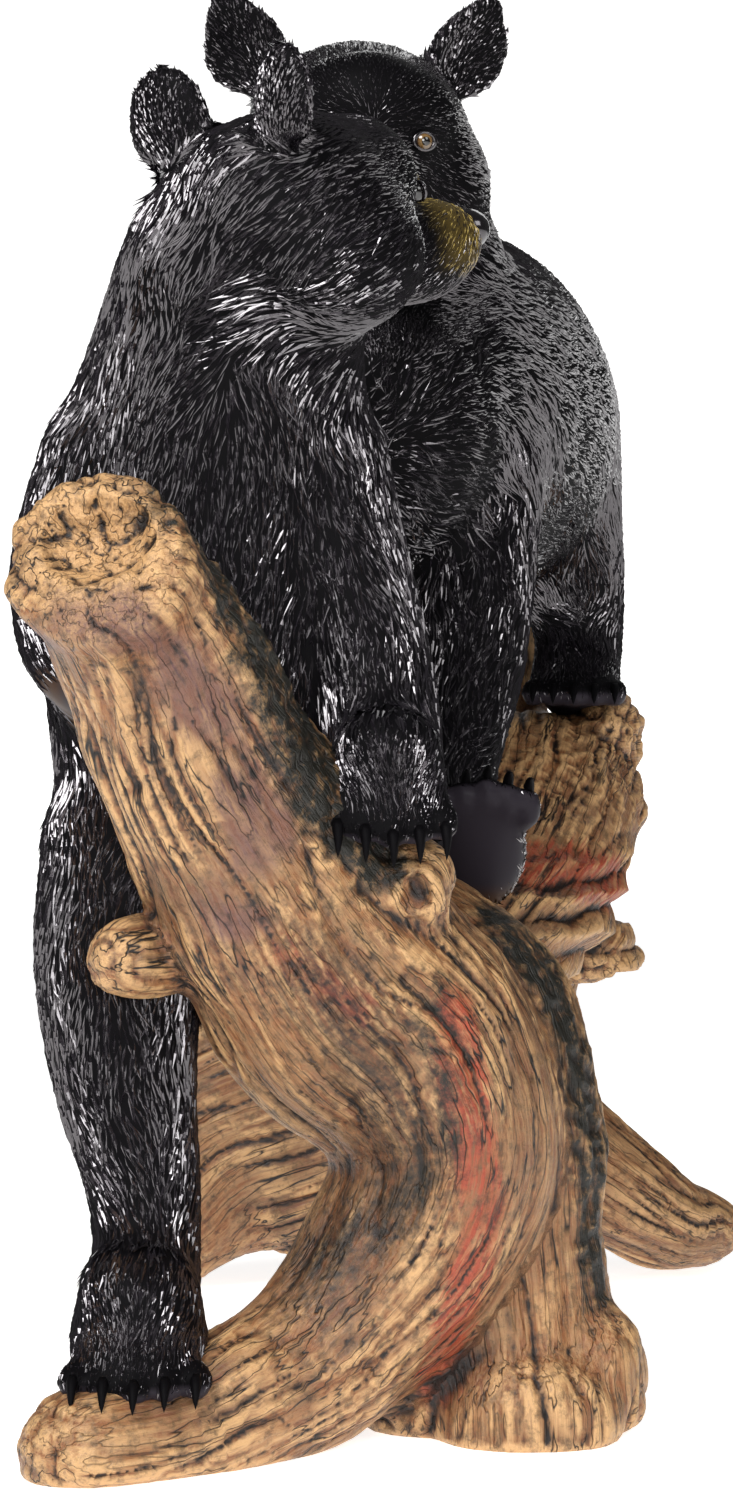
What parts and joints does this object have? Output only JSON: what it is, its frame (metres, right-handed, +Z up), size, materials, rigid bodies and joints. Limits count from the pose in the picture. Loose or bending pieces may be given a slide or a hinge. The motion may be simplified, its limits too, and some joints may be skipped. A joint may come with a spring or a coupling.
{
  "type": "bear cubs garden statue",
  "caption": "Garden statue of black bear cubs on arching driftwood, a cub climbing a leaning stub and a cub standing on the log behind, with painted resin fur.",
  "frame": {"origin": "on the ground, under the middle of the statue's bounding box", "axes": "+Z up, -Y towards the viewer of the front view with the leaning stub nearest, +X to that viewer's right"},
  "size_m": [0.3573, 0.6491, 0.6476],
  "materials": {
    "driftwood": "cast resin painted as bare driftwood, satin varnish",
    "black_fur": "cast resin painted black, gloss",
    "amber_eye": "clear gloss over amber"
  },
  "bodies": {
    "root": {"driftwood": "driftwood", "cub_climbing": "black_fur", "cub_standing": "black_fur", "eye_climbing_right": "amber_eye", "eye_climbing_left": "amber_eye", "eye_standing_right": "amber_eye", "eye_standing_left": "amber_eye"}
  },
  "joints": []
}
